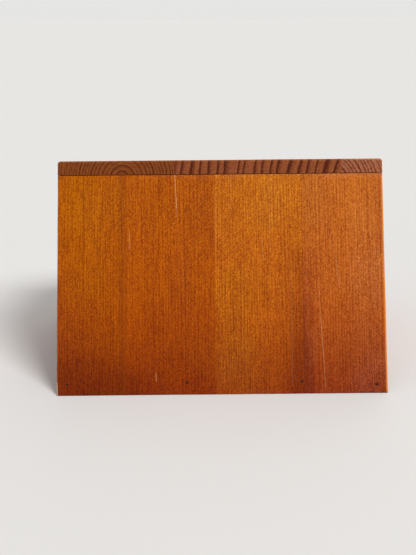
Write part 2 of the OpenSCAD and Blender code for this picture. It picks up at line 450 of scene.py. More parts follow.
def remap(tree, value, low, high, to_low=0.0, to_high=1.0):
    return node(
        tree, "ShaderNodeMapRange", {"interpolation_type": "SMOOTHSTEP"},
        i0=value, i1=low, i2=high, i3=to_low, i4=to_high).outputs[0]


print("pattern helpers:", grain_noise.__name__, ramp.__name__, blend.__name__, remap.__name__)

# %% [markdown]
# The stain soaks into soft early wood more than into hard late wood, and into end grain more than into
# faces. So each of these is a colour of its own. The box's height then darkens them all towards the foot,
# as painted shade near the table. Painting a picture for the front would be quicker, but the other five
# sides would not fit it.

# %% Colours of the stained wood
FACE_LIGHT = (0.58, 0.155, 0.008)
FACE_MIDDLE = (0.42, 0.092, 0.0035)
FACE_DARK = (0.24, 0.038, 0.001)
RAW_LIGHT = (0.62, 0.34, 0.13)
RAW_DARK = (0.42, 0.19, 0.06)
END_LIGHT = (0.25, 0.066, 0.018)
END_MIDDLE = (0.160, 0.034, 0.007)
END_DARK = (0.070, 0.009, 0.0015)
WORN = (0.66, 0.27, 0.075)
# Worn right arris, partly a painted highlight where the key lamp catches it.
WORN_AND_LIT_EDGE = (0.80, 0.26, 0.045)
# Painted shade in the lid's joint and along the foot, with some dirt.
SHADE_AND_DIRT = (0.022, 0.008, 0.004)
SCRATCH = (0.80, 0.44, 0.20)
LINE_DARK = (0.20, 0.035, 0.002)
CHIP = (0.72, 0.60, 0.45)

# Painted shade: the colour darkens towards the foot of the walls, as shade near the table; places are
# shares of the height over which it fades.
FOOT_SHADE_OVER = 110 * MM
FOOT_SHADE = [(0.0, (0.50, 0.27, 0.4)), (0.16, (0.64, 0.43, 0.5)), (0.30, (0.79, 0.61, 0.65)),
        (0.44, (0.90, 0.79, 0.8)), (0.60, (0.97, 0.90, 0.9)), (0.80, grey(1.0))]
print("the stain is even from", round(FOOT_SHADE[-1][0] * FOOT_SHADE_OVER / MM), "mm up")

# %% [markdown]
# Years of use leave scratches, pale clouds and dark glue lines. Each lies along a straight
# run on the face, so one helper draws them all: it gives 1 on the run and fades to 0 at a
# width from it. A decal picture could do the same, but it would blur when seen close.

# %% A mark on a face
MARK_CORE = 0.2


def mark(tree, place, start, end, width):
    """1 on the line between two places on a face, falling to 0 at width from it. Both are
    given as across and along the grain."""
    first = Vector((start[0], 0, start[1]))
    run = Vector((end[0], 0, end[1])) - first
    flat = vector_maths(tree, "MULTIPLY", place, (1, 0, 1))
    offset = vector_maths(tree, "SUBTRACT", flat, first)
    share = vector_maths(tree, "DOT_PRODUCT", offset, run / run.length_squared)
    share = maths(tree, "MINIMUM", maths(tree, "MAXIMUM", share, 0.0), 1.0)
    nearest = node(tree, "ShaderNodeVectorMath", {"operation": "SCALE"}, i0=run, Scale=share).outputs[0]
    away = vector_maths(tree, "LENGTH", vector_maths(tree, "SUBTRACT", offset, nearest))
    return remap(tree, away, width * MARK_CORE, width, 1.0, 0.0)


print("a mark is at full strength over", MARK_CORE, "of its width")

# %% [markdown]
# Now the wood. Three directions describe a board: across it, out of its face, and along its
# grain. The distance from the pith line gives the rings, noises stretched along the grain
# give fibres, flecks and cloudy patches, and the way a face looks tells whether it is end
# grain, stained face or the pale unstained inside. The varnish is satin: a thin weak coat.

# %% Sizes and strengths of the wood's pattern
# Noises: cells per metre across, outward and along the grain, then the strength.
FIBRE, FIBRE_DEPTH = (2300, 2300, 100), 0.9
FLECK, FLECK_DEPTH = (2000, 2000, 1300), 1.9
BLOTCH, BLOTCH_DEPTH = (24, 24, 9), 0.7
RING_DEPTH = 0.34
PALEST = 1.42          # taken off the sum of all these
PORES, PORE_DEPTH, PORE_MIDDLE = (1500, 1500, 1500), 1.6, 0.45
WANDER, WANDER_SIZE = (45, 45, 6), (0.003, 0.003, 0)
YEARS_PACE, YEARS_SPREAD = 0.45, 1.6
LATE_POWER = 1.5
SATIN = (0.30, 0.46)   # roughness from the smoothest to the dullest patch
# Extra roughness on end grain, and where the joint and foot are painted dark as shade and dirt.
END_DULL, SHADE_AND_DIRT_DULL = 0.3, 0.4
COAT, COAT_ROUGHNESS, SHINE = 0.06, 0.28, 0.10
RELIEF, RELIEF_DEPTH = 0.35, 0.12 * MM
print("fibres", round(1000 / FIBRE[0], 2), "mm wide, clouds", round(1000 / BLOTCH[0]), "mm")


# %% The stained softwood
def wood(name, axes, pith, ring, tint=(1, 1, 1), contrast=1.0, stains=(),
         marks=(), worn=0.5, pinch=1.0):
    """axes: across, outward and grain directions; pith: its place across and outward; stains and marks:
    bands on the face, each with its ends, width, colour and strength, where some stains are painted shade
    towards the foot and one mark is partly a painted highlight on the right arris; pinch: above 1, the
    rings get narrower away from the pith."""
    made = bpy.data.materials.new(name)
    made.use_nodes = True
    tree = made.node_tree
    shader = tree.nodes["Principled BSDF"]
    point = node(tree, "ShaderNodeTexCoord")
    parts = [vector_maths(tree, "DOT_PRODUCT", point.outputs["Object"], axis) for axis in axes]
    place = node(tree, "ShaderNodeCombineXYZ", None, X=parts[0], Y=parts[1], Z=parts[2]).outputs[0]

    drift = node(tree, "ShaderNodeTexNoise", None,
                 Vector=vector_maths(tree, "MULTIPLY", place, WANDER), Scale=1.0, Detail=1.0)
    centred = vector_maths(tree, "SUBTRACT", drift.outputs["Color"], grey(0.5))
    bent = vector_maths(tree, "ADD", place, vector_maths(tree, "MULTIPLY", centred, WANDER_SIZE))
    flat = vector_maths(tree, "MULTIPLY", vector_maths(tree, "SUBTRACT", bent, (*pith, 0)), (1, 1, 0))
    rings = maths(tree, "POWER", maths(tree, "DIVIDE", vector_maths(tree, "LENGTH", flat), ring), pinch)
    pace = node(tree, "ShaderNodeTexNoise", {"noise_dimensions": "1D"},
                W=maths(tree, "MULTIPLY", rings, YEARS_PACE), Scale=1.0, Detail=1.0).outputs["Fac"]
    year = maths(tree, "FRACT", maths(tree, "ADD", rings, maths(tree, "MULTIPLY", pace, YEARS_SPREAD)))
    late = ramp(tree, year, [(0.0, grey(0.35)), (0.12, grey(0.06)), (0.55, grey(0.22)),
                             (0.86, grey(0.9)), (0.95, grey(1.0)), (1.0, grey(0.4))])

    fibre = grain_noise(tree, place, FIBRE, 1.0)
    fleck = grain_noise(tree, place, FLECK, 1.0)
    blotch = grain_noise(tree, place, BLOTCH, 3.0)
    facing = maths(tree, "ABSOLUTE", vector_maths(tree, "DOT_PRODUCT", point.outputs["Normal"], axes[2]))
    end = remap(tree, facing, 0.55, 0.85)

    depth = maths(tree, "MULTIPLY", late, RING_DEPTH * contrast)
    for noise_value, amount in ((fibre, FIBRE_DEPTH), (fleck, FLECK_DEPTH), (blotch, BLOTCH_DEPTH)):
        depth = maths(tree, "ADD", depth, maths(tree, "MULTIPLY", noise_value, amount))
    depth = maths(tree, "SUBTRACT", depth, PALEST)
    face = ramp(tree, depth, [(0.0, FACE_LIGHT), (0.45, FACE_MIDDLE), (1.0, FACE_DARK)])
    face = blend(tree, 1.0, face, tint, "MULTIPLY")
    # Painted shade: the colour darkens towards the foot, as shade near the table.
    height = vector_maths(tree, "DOT_PRODUCT", point.outputs["Object"], (0, 0, 1 / FOOT_SHADE_OVER))
    face = blend(tree, 1.0, face, ramp(tree, height, FOOT_SHADE), "MULTIPLY")
    outward = vector_maths(tree, "DOT_PRODUCT", point.outputs["Normal"], axes[1])
    outside = remap(tree, outward, 0.2, 0.6)
    # Bands of stain; some of them are painted shade towards the foot.
    for start, finish, width, colour, strength in stains:
        band = maths(tree, "MULTIPLY", mark(tree, place, start, finish, width), outside)
        face = blend(tree, maths(tree, "MULTIPLY", band, strength), face, colour, "MULTIPLY")
    # Lines on the face; the one on the right arris is partly a painted highlight.
    for start, finish, width, colour, strength in marks:
        line = maths(tree, "MULTIPLY", mark(tree, place, start, finish, width), outside)
        face = blend(tree, maths(tree, "MULTIPLY", line, strength), face, colour)

    pores = maths(tree, "SUBTRACT", grain_noise(tree, place, PORES), PORE_MIDDLE)
    end_rings = maths(tree, "MULTIPLY", maths(tree, "POWER", late, LATE_POWER), contrast)
    end_depth = maths(tree, "ADD", end_rings, maths(tree, "MULTIPLY", pores, PORE_DEPTH))
    ends = ramp(tree, end_depth, [(0.0, END_LIGHT), (0.4, END_MIDDLE), (1.0, END_DARK)])
    ends = blend(tree, 1.0, ends, tint, "MULTIPLY")
    colour = blend(tree, end, face, ends)
    unfinished = remap(tree, outward, -0.8, -0.5, 1.0, 0.0)
    colour = blend(tree, unfinished, colour, ramp(tree, depth, [(0.1, RAW_LIGHT), (0.9, RAW_DARK)]))
    wear = node(tree, "ShaderNodeAttribute", {"attribute_name": "wear"}).outputs["Fac"]
    patchy = remap(tree, grain_noise(tree, place, (260, 260, 120)), 0.35, 0.65, 0.4, 1.0)
    edge = remap(tree, wear, 0.0, 0.5)
    rubbed = maths(tree, "MULTIPLY", maths(tree, "MULTIPLY", edge, patchy), worn)
    colour = blend(tree, rubbed, colour, WORN)
    # The joint and the foot painted dark: shade in the joint and at the table, with some dirt.
    shade_and_dirt = node(tree, "ShaderNodeAttribute", {"attribute_name": "shade_and_dirt"}).outputs["Fac"]
    colour = blend(tree, remap(tree, shade_and_dirt, 0.0, 0.35), colour, SHADE_AND_DIRT)
    tree.links.new(colour, shader.inputs["Base Color"])

    mottle = maths(tree, "ADD", blotch, maths(tree, "MULTIPLY", fleck, 0.4))
    rough = remap(tree, mottle, 0.4, 1.0, *SATIN)
    dull = maths(tree, "MULTIPLY", maths(tree, "MAXIMUM", end, unfinished), END_DULL)
    dull = maths(tree, "ADD", dull, maths(tree, "MULTIPLY", shade_and_dirt, SHADE_AND_DIRT_DULL))
    tree.links.new(maths(tree, "ADD", rough, dull), shader.inputs["Roughness"])
    tree.links.new(remap(tree, unfinished, 0.0, 1.0, COAT, 0.0), shader.inputs["Coat Weight"])
    shader.inputs["Coat Roughness"].default_value = COAT_ROUGHNESS
    shader.inputs["Specular IOR Level"].default_value = SHINE
    relief = maths(tree, "ADD", maths(tree, "MULTIPLY", late, 0.5), fibre)
    bump = node(tree, "ShaderNodeBump", None, Height=relief, Strength=RELIEF, Distance=RELIEF_DEPTH)
    tree.links.new(bump.outputs[0], shader.inputs["Normal"])
    return made


print("wood is ready")

# %% [markdown]
# Each panel has its own three directions, which turn its grain with it. The brads are placed
# before the boards are made, because their holes are cut into them.

# %% Directions and edges of the boards
ACROSS = Vector((1, 0, 0))
lean_angle = math.atan(LEAN)
slope_angle = math.atan(SLOPE)
FRONT_AXES = (ACROSS, Vector((0, -math.cos(lean_angle), math.sin(lean_angle))),
              Vector((0, math.sin(lean_angle), math.cos(lean_angle))))
LID_AXES = (ACROSS, Vector((0, math.sin(slope_angle), math.cos(slope_angle))),
            Vector((0, -math.cos(slope_angle), math.sin(slope_angle))))
BACK_AXES = (ACROSS, Vector((0, 1, 0)), Vector((0, 0, 1)))
BOTTOM_AXES = (Vector((0, 1, 0)), Vector((0, 0, -1)), ACROSS)
ARRIS = 0.7 * MM       # upright outer edges
BRIM = 0.3 * MM        # the lid's edges at the front and the back
LID_CORNER = 1.6 * MM  # the lid's two long upper edges, across
LID_TOP = 1.2 * MM     # and through its thickness
print("the front faces", [round(v, 2) for v in FRONT_AXES[1]])

# %% Places of the brads
BRAD_Z = 5.5 * MM
BRAD_IN = 4.8 * MM     # the outer brads' distance from the ends
BRAD_MIDDLES = (-17.2 * MM, 38.4 * MM)
FRONT_BRADS = ((-half_w + BRAD_IN, 4.9 * MM), (BRAD_MIDDLES[0], BRAD_Z),
               (BRAD_MIDDLES[1], BRAD_Z), (half_w - 5.6 * MM, 4.0 * MM))
BACK_BRADS = (-half_w + BRAD_IN, *BRAD_MIDDLES, half_w - BRAD_IN)
SIDE_BRAD_INSET = 32 * MM
BRAD_HEAD = 0.75 * MM
BRAD_SET = 0.3 * MM
BRAD_HEAD_T = 0.5 * MM
HOLE_FIT = 0.05 * MM
side_brad_ys = (front_foot_y + SIDE_BRAD_INSET, back_y - SIDE_BRAD_INSET)
brad_places = {
    "front": [(Vector((x, front_plane(0, z + BRAD_HEAD), z)), Vector((0, 1, 0))) for x, z in FRONT_BRADS],
    "back": [(Vector((x, back_y, BRAD_Z)), Vector((0, -1, 0))) for x in BACK_BRADS],
    "left": [(Vector((-half_w, y, BRAD_Z)), Vector((1, 0, 0))) for y in side_brad_ys],
    "right": [(Vector((half_w, y, BRAD_Z)), Vector((-1, 0, 0))) for y in side_brad_ys],
}
print("brads:", {label: len(places) for label, places in brad_places.items()})

# %% [markdown]
# A brad's head sits in a hole and a hinge leaf in a shallow pocket, cut before the stain. A
# dark spot in the colour would pass from afar, but the pockets show when the lid opens. So
# one Boolean per board takes them all out at once.

# %% Holes and pockets
LEAF_LEN = 25 * MM
LEAF_W = 6.6 * MM
LEAF_T = 0.8 * MM
LEAF_GAP = 0.2 * MM
LEAF_FIT = 0.1 * MM
CLEAR = 3 * MM         # how far a cutter reaches past the wood
HOLE_SIDES = 24


def hinge_frame(label):
    """Pin along X, and -Y up along the closed lid."""
    low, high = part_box(label + "_hinge_pin")
    return Matrix.Translation((low + high) / 2) @ Matrix.Rotation(-slope_angle, 4, "X")


def drilled(made, brads, pocket):
    """Cuts the brads' head holes, and a leaf's pocket above (1) or below (-1) the pin."""
    cutter = bmesh.new()
    for start, into in brads:
        deep = BRAD_SET + BRAD_HEAD_T
        turn = into.to_track_quat("Z", "Y").to_matrix().to_4x4()
        middle = Matrix.Translation(start + into * (deep - CLEAR) / 2)
        bmesh.ops.create_cone(
            cutter, cap_ends=True, segments=HOLE_SIDES, radius1=BRAD_HEAD + HOLE_FIT,
            radius2=BRAD_HEAD + HOLE_FIT, depth=deep + CLEAR, matrix=middle @ turn)
    if pocket:
        deep = LEAF_GAP / 2 + LEAF_T + LEAF_FIT
        size = (LEAF_LEN + 2 * LEAF_FIT, LEAF_W + LEAF_FIT + CLEAR, deep + CLEAR)
        centre = (0, (CLEAR - LEAF_W - LEAF_FIT) / 2, pocket * (deep - CLEAR) / 2)
        for label in ("left", "right"):
            place = hinge_frame(label) @ Matrix.Translation(centre) @ Matrix.Diagonal((*size, 1))
            bmesh.ops.create_cube(cutter, size=1, matrix=place)
    tool_mesh = bpy.data.meshes.new("cutter")
    cutter.to_mesh(tool_mesh)
    cutter.free()
    if tool_mesh.polygons:
        tool = bpy.data.objects.new("cutter", tool_mesh)
        bpy.context.scene.collection.objects.link(tool)
        cut = made.modifiers.new("cut", "BOOLEAN")
        cut.operation = "DIFFERENCE"
        cut.solver = "EXACT"
        cut.object = tool
        graph = bpy.context.evaluated_depsgraph_get()
        made.data = bpy.data.meshes.new_from_object(made.evaluated_get(graph), depsgraph=graph)
        made.modifiers.clear()
        made.data.set_sharp_from_angle(angle=SHARP_ANGLE)
        bpy.data.objects.remove(tool)


def finish_board(made, node_name, body, material, brads=(), pocket=0):
    drilled(made, brads, pocket)
    made.data.materials.clear()
    made.data.materials.append(material)
    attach(made, body)
    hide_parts(node_name)


print("leaf pockets are", round((LEAF_GAP / 2 + LEAF_T + LEAF_FIT) / MM, 1), "mm deep")

# %% [markdown]
# Some things tell this front from any other: cloudy patches where the stain took more or less, glue
# lines, scratches, a rubbed right edge that also carries a painted highlight where the lamp catches it, a
# chip at the foot, and painted shade towards the foot. Noise would give such marks, but at chance places.
# So they are listed one by one, in millimetres across the front and up its slope, with a width, a colour
# and a strength.

# %% Stains, painted shade and marks on the front
foot_along = FRONT_AXES[2].dot(Vector((0, front_foot_y, 0)))
YELLOWER = (1.03, 1.22, 0.5)
REDDER = (0.80, 0.70, 1.0)
FOOT_SHADE_TINT = (0.55, 0.36, 0.6)
# Painted shade: darkens the colour towards the foot, mostly at the lower left.
PALER = (1.08, 1.25, 2.2)
FRONT_STAINS_AND_SHADE = [
    ((-70, 107), (-66, 55), 14, YELLOWER, 0.30),
    ((-34, 100), (-36, 30), 7, REDDER, 0.30),
    ((6, 50), (9, 4), 15, YELLOWER, 0.60),
    ((8, 22), (9, 4), 14, PALER, 0.50),
    ((37, 82), (36, 0), 13, REDDER, 0.34),
    ((27, 102), (23, 86), 11, PALER, 0.50),
    ((45, 104), (47, 86), 8, PALER, 0.30),
    ((44, 28), (43, 16), 5, PALER, 0.45),
    ((38, 66), (38, 0), 9, REDDER, 0.60),
    ((44, 107), (42, 70), 10, YELLOWER, 0.18),
    ((78.2, 107), (78.2, 70), 3, REDDER, 0.50),
    ((78, 66), (77, 46), 8, PALER, 0.50),
    ((77, 13), (70, 4), 12, PALER, 1.0),
    ((66, 62), (64, 54), 9, PALER, 0.30),
    ((-76, 107), (-73, 99), 8, REDDER, 0.40),
    ((-74, 76), (-71, 72), 7, REDDER, 0.35),
    ((-60, 92), (-58, 84), 8, PALER, 0.30),
    ((-27, 107), (-26, 92), 7, REDDER, 0.35),
    ((-14, 88), (-2, 70), 9, REDDER, 0.22),
    ((-32, 40), (-31, 34), 6, REDDER, 0.30),
    ((-9, 20), (0, 12), 12, PALER, 0.45),
    ((14, 52), (27, 49), 7, REDDER, 0.25),
    ((-47.8, 107), (-47.8, 0), 3, REDDER, 0.25),
    # These three bands are painted shade towards the foot.
    ((-72, 6), (-50, 0), 24, FOOT_SHADE_TINT, 0.45),
    ((39, 40), (39, 0), 8, FOOT_SHADE_TINT, 0.16),
    ((38, 22), (38, 0), 12, FOOT_SHADE_TINT, 0.22),
    ((71, 85), (70, 8), 12, PALER, 0.45),
]
FRONT_MARKS = [
    ((-47.8, 107.6), (-47.8, 0), 2.6, LINE_DARK, 0.28),
    ((39.9, 58.0), (39.9, 0), 0.6, LINE_DARK, 0.30),
    # The right arris: rubbed wood, partly a painted highlight from the key lamp on the right.
    ((79.65, 106.0), (79.65, 1.0), 0.85, WORN_AND_LIT_EDGE, 0.85),
    ((-22.3, 107.6), (-21.5, 91.0), 0.26, SCRATCH, 0.62),
    ((-21.5, 91.0), (-21.5, 87.0), 0.20, SCRATCH, 0.22),
    ((-44.6, 79.5), (-44.6, 70.7), 0.24, SCRATCH, 0.30),
    ((47.3, 55.0), (48.2, 36.5), 0.25, SCRATCH, 0.15),
    ((48.2, 36.5), (49.1, 18.0), 0.26, SCRATCH, 0.34),
    ((49.1, 18.0), (49.9, 2.4), 0.25, SCRATCH, 0.22),
    ((20.3, 75.0), (20.6, 65.0), 0.22, SCRATCH, 0.26),
    ((53.0, 78.5), (56.2, 65.1), 0.18, SCRATCH, 0.12),
    ((56.2, 65.1), (57.3, 51.5), 0.24, SCRATCH, 0.24),
    ((-2.5, 98.0), (-2.5, 74.0), 0.24, SCRATCH, 0.13),
    ((5.2, 107.6), (5.2, 88.0), 0.22, SCRATCH, 0.12),
    ((24.2, 107.6), (24.2, 70.0), 0.22, SCRATCH, 0.11),
    ((34.0, 60.0), (34.0, 4.0), 0.22, SCRATCH, 0.12),
    ((-31.9, 10.7), (-31.9, 6.8), 0.28, SCRATCH, 0.40),
    ((-67.3, 107.6), (-67.3, 86.0), 0.35, LINE_DARK, 0.60),
    ((-79.9, 6.5), (-79.7, 0.5), 0.55, CHIP, 0.85),
]
print(len(FRONT_STAINS_AND_SHADE), "stains and", len(FRONT_MARKS), "marks on the front")

# %% [markdown]
# Now the staves themselves. The front's are quarter-sawn, so their pith lies far off to
# one side and the rings show as fine straight lines. The lid's are cut nearer the pith:
# one shows arches on its end, one broad rings, one a fine slanting grain.

# %% A panel of staves
def reaching(listed, x0, x1):
    """The stain bands, painted shade and marks that reach a stave, in metres and along the board's own
    axes.
    """
    chosen = []
    for start, finish, width, colour, strength in listed:
        low, high = sorted((start[0], finish[0]))
        if (low - width) * MM < x1 and (high + width) * MM > x0:
            ends = [(x * MM, up * MM + foot_along) for x, up in (start, finish)]
            chosen.append((*ends, width * MM, colour, strength))
    return chosen


def staves(prefix, corners_of, across, rest, axes, body, woods):
    """A panel of upright staves, cut where the frame's nodes are cut. across is the easing
    of the panel's own two sides, and rest that through its thickness and along its grain."""
    pocket = {"lid": 1, "back": -1}.get(prefix, 0)
    for n, (pith, ring, tint, contrast, worn, *pinch) in enumerate(woods, 1):
        node_name = "%s_stave_%d" % (prefix, n)
        low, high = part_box(node_name)
        sides = (across if n == 1 else 0, across if n == len(woods) else 0)
        made = board_mesh(node_name + "_wood", corners_of(low.x, high.x), (sides, *rest))
        brads = [hole for hole in brad_places.get(prefix, ()) if low.x < hole[0].x < high.x]
        seen = prefix == "front"
        stains = reaching(FRONT_STAINS_AND_SHADE, low.x, high.x) if seen else ()
        marks = reaching(FRONT_MARKS, low.x, high.x) if seen else ()
        material = wood(node_name, axes, pith, ring, tint, contrast, stains, marks, worn, *pinch)
        finish_board(made, node_name, body, material, brads, pocket)
    print(prefix, "has", len(woods), "staves")


# %% The front
# Each stave: its pith, the width of a ring, its tint, contrast and wear
staves("front", front_corners, ARRIS, ((FOOT, ARRIS), (FOOT, JOINT)), FRONT_AXES, "box", [
    ((-0.35, 0.10), 1.3 * MM, (0.97, 0.97, 0.1), 1.0, 0.35),
    ((0.30, 0.16), 1.45 * MM, (1.01, 0.96, 0.2), 0.9, 0.0),
    ((-0.28, 0.12), 1.25 * MM, (1.24, 1.45, 1.1), 1.0, 0.0),
    ((0.38, 0.05), 1.4 * MM, (1.12, 1.20, 2.6), 0.9, 0.25),
])

# %% The lid
# The first stave's rings get narrower away from the pith, as its last value says
lid_mid = LID_AXES[1].dot(Vector((0, *meet((under_k + top_k) / 2, 0))))
lid_ends = ((JOINT, LID_TOP), (BRIM, BRIM))
staves("lid", lid_corners, LID_CORNER, lid_ends, LID_AXES, "lid", [
    ((-48 * MM, lid_mid - 5 * MM), 3.6 * MM, (0.96, 0.94, 0.6), 0.72, 0.2, 1.35),
    ((82 * MM, lid_mid - 10 * MM), 4.4 * MM, (1.16, 1.20, 1.35), 1.15, 0.2),
    ((50 * MM, lid_mid - 10 * MM), 1.9 * MM, (1.55, 2.0, 3.6), 1.0, 0.4),
])

# %% The back
staves("back", back_corners, ARRIS, ((FOOT, ARRIS), (FOOT, JOINT)), BACK_AXES, "box", [
    ((-0.20, -0.06), 2.0 * MM, (1.0, 0.95, 0.9), 1.0, 0.5),
    ((0.02, 0.02), 3.2 * MM, (0.95, 0.92, 0.9), 1.2, 0.5),
    ((0.25, 0.02), 1.7 * MM, (1.05, 1.05, 1.0), 1.0, 0.5),
    ((0.05, -0.05), 3.0 * MM, (1.0, 0.98, 1.1), 1.1, 0.5),
])

# %% [markdown]
# The sides and the bottom are two boards each. A side stands between the front and the
# back, so only its foot and its top are eased, and the bottom's edges are all hidden.

# %% The sides
for side, label in ((-1, "left"), (1, "right")):
    seam_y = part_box(label + "_side_front")[1].y
    front_head = meet(wall_k, level_t)[0]
    seam_edge = (seam_y, seam_y)
    side_axes = (Vector((0, 1, 0)), ACROSS * side, Vector((0, 0, 1)))
    halves = (
        ("front", ((front_plane(level_t, 0), front_head), seam_edge), (0.05, 0.03), 2.6 * MM),
        ("rear", (seam_edge, (back_inner_y, back_inner_y)), (-0.15, 0.05), 1.9 * MM),
    )
    for part, (foot_head, rear_edge), pith, ring in halves:
        node_name = "%s_side_%s" % (label, part)
        ends = ((0, 0), (FOOT, FOOT), (FOOT, JOINT))
        made = board_mesh(node_name + "_wood", side_corners(side, foot_head, rear_edge), ends)
        brads = [hole for hole in brad_places[label] if (hole[0].y < seam_y) == (part == "front")]
        finish_board(made, node_name, "box", wood(node_name, side_axes, pith, ring), brads)

# %% The bottom
bottom_seam_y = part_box("bottom_front")[1].y
for part, near_ends, rear in (
    ("front", (front_plane(level_t, bottom_high), front_plane(level_t, bottom_low)), bottom_seam_y),
    ("rear", (bottom_seam_y, bottom_seam_y), back_inner_y),
):
    node_name = "bottom_" + part
    made = board_mesh(node_name + "_wood", bottom_corners(near_ends, rear), ((0, 0),) * 3)
    finish_board(made, node_name, "box",
                 wood(node_name, BOTTOM_AXES, (0.03, -0.04), 3.0 * MM, (1.05, 1.2, 1.6)))

# %% [markdown]
# The metal is a pair of brass butt hinges with slotted countersunk screws, and steel brads
# sunk into the walls. On the real box they are small stock parts, all alike. Each could be
# modelled once and copied by hand; Geometry Nodes build it from its sizes and set it at
# every point instead, turning each screw by its own random amount as a screwdriver would.

# %% Brass and steel
PATCHES = (260, 260, 260)       # cells of tarnish per metre
SPECKS = (2600, 2600, 2600)
BRUSHED = (300, 9000, 9000)     # brushed along the hinge pins


def metal(name, clean, tarnish, rough, shine=1.0):
    made = bpy.data.materials.new(name)
    made.use_nodes = True
    tree = made.node_tree
    shader = tree.nodes["Principled BSDF"]
    place = node(tree, "ShaderNodeTexCoord").outputs["Object"]
    patches = grain_noise(tree, place, PATCHES, 5.0)
    specks = grain_noise(tree, place, SPECKS)
    brushed = grain_noise(tree, place, BRUSHED, 1.0)
    age = maths(tree, "ADD", patches, maths(tree, "MULTIPLY", specks, 0.35))
    tone = ramp(tree, maths(tree, "SUBTRACT", age, 0.15), [(0.35, clean), (0.75, tarnish)])
    tree.links.new(tone, shader.inputs["Base Color"])
    tree.links.new(remap(tree, age, 0.4, 1.0, rough, rough + 0.3), shader.inputs["Roughness"])
    shader.inputs["Metallic"].default_value = shine
    bump = node(tree, "ShaderNodeBump", None, Height=brushed, Strength=0.3, Distance=0.00003)
    tree.links.new(bump.outputs[0], shader.inputs["Normal"])
    return made


hinge_brass = metal("hinge_brass", (0.70, 0.48, 0.18), (0.30, 0.17, 0.06), 0.24)
screw_brass = metal("screw_brass", (0.74, 0.54, 0.24), (0.26, 0.15, 0.06), 0.2)
brad_steel = metal("brad_steel", (0.20, 0.045, 0.012), (0.08, 0.015, 0.004), 0.6, 0.1)
print("metals:", hinge_brass.name, screw_brass.name, brad_steel.name)

# %% [markdown]
# A Geometry Nodes tree is built once and run on many points. Its sizes are named inputs, so
# one tree serves every hinge leaf. The result is made a plain mesh at once, because the
# finished piece has to stand alone without the tree.

# %% Trees with named sizes
SOCKETS = {float: "NodeSocketFloat", int: "NodeSocketInt", bpy.types.Material: "NodeSocketMaterial"}


def node_group(name, sizes):
    """A tree that takes points and the named sizes. Returns it with its input node."""
    tree = bpy.data.node_groups.new(name, "GeometryNodeTree")
    tree.is_modifier = True
    for direction in ("INPUT", "OUTPUT"):
        tree.interface.new_socket("Geometry", in_out=direction, socket_type="NodeSocketGeometry")
    for label, value in sizes.items():
        tree.interface.new_socket(label, in_out="INPUT", socket_type=SOCKETS[type(value)])
    return tree, tree.nodes.new("NodeGroupInput").outputs


def finish_group(tree, shape, given):
    """Ends a tree: its instances made real, and the material set."""
    real = node(tree, "GeometryNodeRealizeInstances", None, Geometry=shape).outputs[0]
    coated = node(tree, "GeometryNodeSetMaterial", None, Geometry=real, Material=given["Material"])
    node(tree, "NodeGroupOutput", None, Geometry=coated.outputs[0])


print("a size can be:", sorted(kind.__name__ for kind in SOCKETS))


# %% Running a tree
def grown(name, tree, sizes, points, ways=None, ease=0.0):
    """Runs a tree on some points and returns the result as a plain mesh object."""
    seeds = bpy.data.meshes.new(name)
    seeds.from_pydata(points, [], [])
    if ways:
        way = seeds.attributes.new("way", "FLOAT_VECTOR", "POINT")
        for item, value in zip(way.data, ways):
            item.vector = value
    made = bpy.data.objects.new(name, seeds)
    bpy.context.scene.collection.objects.link(made)
    modifier = made.modifiers.new(name, "NODES")
    modifier.node_group = tree
    for socket in tree.interface.items_tree:
        if socket.in_out == "INPUT" and socket.name in sizes:
            modifier[socket.identifier] = sizes[socket.name]
    if ease:
        bevel = made.modifiers.new("ease", "BEVEL")
        bevel.width = ease
        bevel.segments = 2
        bevel.limit_method = "ANGLE"
        bevel.angle_limit = SHARP_ANGLE
    graph = bpy.context.evaluated_depsgraph_get()
    plain = bpy.data.meshes.new_from_object(made.evaluated_get(graph), depsgraph=graph)
    made.modifiers.clear()
    made.data = plain
    plain.materials.clear()
    plain.materials.append(sizes["Material"])
    plain.shade_smooth()
    plain.set_sharp_from_angle(angle=SHARP_ANGLE)
    print(name, len(plain.polygons), "faces")
    return made


# %% [markdown]
# Brads, screws and pins are all turned on a lathe or headed in a die, so they are round. A
# stock cylinder would do for a pin, but not for a tapered tip or a domed head. Here a line
# gets a circle swept along it, whose width follows a curve drawn as the silhouette.

# %% A turned solid
ROUND_SIDES = 24


def xyz(tree, x=0.0, y=0.0, z=0.0):
    return node(tree, "ShaderNodeCombineXYZ", None, X=x, Y=y, Z=z).outputs[0]


def without(tree, shape, cutter):
    cut = node(tree, "GeometryNodeMeshBoolean", {"operation": "DIFFERENCE"}, i0=shape, i1=cutter)
    return cut.outputs[0]


def turned(tree, low, high, radius, steps, silhouette):
    """A closed solid of revolution between two heights. The silhouette gives its radius,
    as a share of the full one, from the low end to the high one."""
    line = node(tree, "GeometryNodeCurvePrimitiveLine", None,
                Start=xyz(tree, z=low), End=xyz(tree, z=high))
    fine = node(tree, "GeometryNodeResampleCurve", None, Curve=line.outputs[0], Count=steps)
    along = node(tree, "GeometryNodeSplineParameter").outputs["Factor"]
    shape = node(tree, "ShaderNodeFloatCurve", None, Value=along)
    curve = shape.mapping.curves[0]
    while len(curve.points) < len(silhouette):
        curve.points.new(0.5, 0.5)
    for point, place in zip(curve.points, silhouette):
        point.location = place
        point.handle_type = "VECTOR"
    shape.mapping.update()
    wide = maths(tree, "MULTIPLY", shape.outputs[0], radius)
    ring = node(tree, "GeometryNodeCurvePrimitiveCircle", {"mode": "RADIUS"},
                Resolution=ROUND_SIDES, Radius=1.0)
    inputs = {
        "Curve": fine.outputs[0], "Profile Curve": ring.outputs[0], "Scale": wide, "Fill Caps": True,
    }
    return node(tree, "GeometryNodeCurveToMesh", None, **inputs).outputs[0]


print("turned solids have", ROUND_SIDES, "sides")

# %% [markdown]
# A brad is a thin nail with a small head, a hinge screw a countersunk one with a slot. Both
# are a head on a shank, set at each point along its own way. Turning each by a random amount
# from a fixed seed keeps the slots from standing in line, as they do on real hinges.

